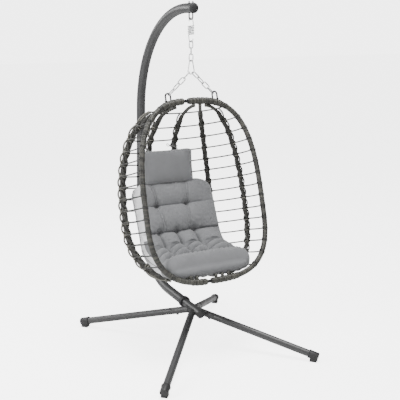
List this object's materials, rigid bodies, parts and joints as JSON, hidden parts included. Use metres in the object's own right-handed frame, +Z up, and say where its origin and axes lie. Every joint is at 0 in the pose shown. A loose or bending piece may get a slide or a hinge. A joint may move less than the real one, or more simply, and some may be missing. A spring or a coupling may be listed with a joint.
{
  "type": "hanging egg chair",
  "caption": "Folding egg-shaped basket chair with a tufted seat pad and head pillow, hung by chain and spring from a curved steel stand on splayed legs.",
  "frame": {"origin": "on the floor, under the middle of the stand's outline", "axes": "+Z up, the open side of the basket faces -Y, +X to the right of someone looking at the open side"},
  "size_m": [0.99, 1.3314, 1.9605],
  "materials": {
    "powder_coat": "dark grey powder coat, satin",
    "black_plastic": "moulded, matt",
    "zinc_steel": "bright zinc plating",
    "black_steel": "black coating, satin",
    "rattan": "woven resin strand over tube",
    "rung_cord": "round resin cord",
    "cushion_fabric": "plain woven, matt"
  },
  "bodies": {
    "stand": {"base_hub": "powder_coat", "leg_front_left": "powder_coat", "leg_front_right": "powder_coat", "leg_rear_left": "powder_coat", "leg_rear_right": "powder_coat", "leg_bolt_front_left": "black_steel", "leg_bolt_front_right": "black_steel", "leg_bolt_rear_left": "black_steel", "leg_bolt_rear_right": "black_steel", "foot_cap_front_left": "black_plastic", "foot_cap_front_right": "black_plastic", "foot_cap_rear_left": "black_plastic", "foot_cap_rear_right": "black_plastic", "stub_cap": "black_plastic", "pole_collar": "black_plastic", "lower_pole": "powder_coat", "upper_pole": "powder_coat", "pole_cap": "black_plastic", "hanger_u_bolt": "black_steel", "u_bolt_nut_left": "black_steel", "u_bolt_nut_right": "black_steel"},
    "spring_unit": {"spring": "zinc_steel"},
    "upper_link": {"chain_link_1": "zinc_steel"},
    "middle_link": {"chain_link_2": "zinc_steel"},
    "yoke_unit": {"chain_link_3": "zinc_steel", "yoke_link": "zinc_steel", "left_chain_link_1": "zinc_steel", "left_chain_link_2": "zinc_steel", "left_chain_link_3": "zinc_steel", "left_chain_link_4": "zinc_steel", "right_chain_link_1": "zinc_steel", "right_chain_link_2": "zinc_steel", "right_chain_link_3": "zinc_steel", "right_chain_link_4": "zinc_steel"},
    "basket_right": {"hoop_right": "rattan", "hinge_pin_top": "black_steel", "hinge_pin_foot": "black_steel", "rung_01": "rung_cord", "rung_02": "rung_cord", "rung_03": "rung_cord", "rung_04": "rung_cord", "rung_05": "rung_cord", "rung_06": "rung_cord", "rung_07": "rung_cord", "rung_08": "rung_cord", "rung_09": "rung_cord", "rung_10": "rung_cord", "rung_11": "rung_cord", "rung_12": "rung_cord", "rung_13": "rung_cord", "rung_14": "rung_cord", "rung_15": "rung_cord", "seat_cushion": "cushion_fabric", "head_pillow": "cushion_fabric"},
    "basket_left": {"hoop_left": "rattan"},
    "rib_a_body": {"rib_a": "rattan"},
    "rib_b_body": {"rib_b": "rattan"},
    "rib_c_body": {"rib_c": "rattan"},
    "rib_d_body": {"rib_d": "rattan"},
    "rib_e_body": {"rib_e": "rattan"}
  },
  "joints": [
    {"name": "swing_fore_aft", "type": "hinge", "parent": "stand", "child": "spring_unit", "pos_m": [0, -0.05355, 1.867], "axis": [1, 0, 0], "range_deg": [-20, 8]},
    {"name": "spring_bounce", "type": "slide", "parent": "spring_unit", "child": "upper_link", "axis": [0, 0, 1], "range_m": [-0.035, 0.01], "stiffness_N_per_m": 20000, "springref_m": 0.01, "deforming": ["spring"]},
    {"name": "swing_side", "type": "hinge", "parent": "upper_link", "child": "middle_link", "pos_m": [0, -0.05355, 1.7107], "axis": [0, 1, 0], "range_deg": [-8, 8]},
    {"name": "chain_twist", "type": "hinge", "parent": "middle_link", "child": "yoke_unit", "pos_m": [0, -0.05355, 1.676], "axis": [0, 0, 1], "range_deg": [-25, 45]},
    {"name": "basket_tip", "type": "hinge", "parent": "yoke_unit", "child": "basket_right", "pos_m": [0, -0.05355, 1.464], "axis": [1, 0, 0], "range_deg": [-8, 8]},
    {"name": "fold", "type": "hinge", "parent": "basket_right", "child": "basket_left", "pos_m": [-0.0415, -0.05355, 1.4675], "axis": [0, 0.2723, 0.9622], "range_deg": [-60, 0], "deforming": ["rung_01", "rung_02", "rung_03", "rung_04", "rung_05", "rung_06", "rung_07", "rung_08", "rung_09", "rung_10", "rung_11", "rung_12", "rung_13", "rung_14", "rung_15", "seat_cushion", "head_pillow", "left_chain_link_1", "left_chain_link_2", "left_chain_link_3", "left_chain_link_4"]},
    {"name": "rib_a_fold", "type": "hinge", "parent": "basket_left", "child": "rib_a_body", "pos_m": [-0.15, -0.18969, 0.98639], "axis": [0, 0.2723, 0.9622], "range_deg": [0, 10.1]},
    {"name": "rib_b_fold", "type": "hinge", "parent": "basket_left", "child": "rib_b_body", "pos_m": [-0.112, -0.18969, 0.98639], "axis": [0, 0.2723, 0.9622], "range_deg": [0, 24.5]},
    {"name": "rib_c_fold", "type": "hinge", "parent": "basket_right", "child": "rib_c_body", "pos_m": [0.005, -0.18969, 0.98639], "axis": [0, 0.2723, 0.9622], "range_deg": [-36.5, 0]},
    {"name": "rib_d_fold", "type": "hinge", "parent": "basket_right", "child": "rib_d_body", "pos_m": [0.045, -0.18969, 0.98639], "axis": [0, 0.2723, 0.9622], "range_deg": [-24.5, 0]},
    {"name": "rib_e_fold", "type": "hinge", "parent": "basket_right", "child": "rib_e_body", "pos_m": [0.083, -0.18969, 0.98639], "axis": [0, 0.2723, 0.9622], "range_deg": [-13.7, 0]}
  ],
  "couplings": [
    {"joint": "rib_a_fold", "follows": "fold", "ratio": -0.16},
    {"joint": "rib_b_fold", "follows": "fold", "ratio": -0.4},
    {"joint": "rib_c_fold", "follows": "fold", "ratio": 0.6},
    {"joint": "rib_d_fold", "follows": "fold", "ratio": 0.4},
    {"joint": "rib_e_fold", "follows": "fold", "ratio": 0.22}
  ]
}
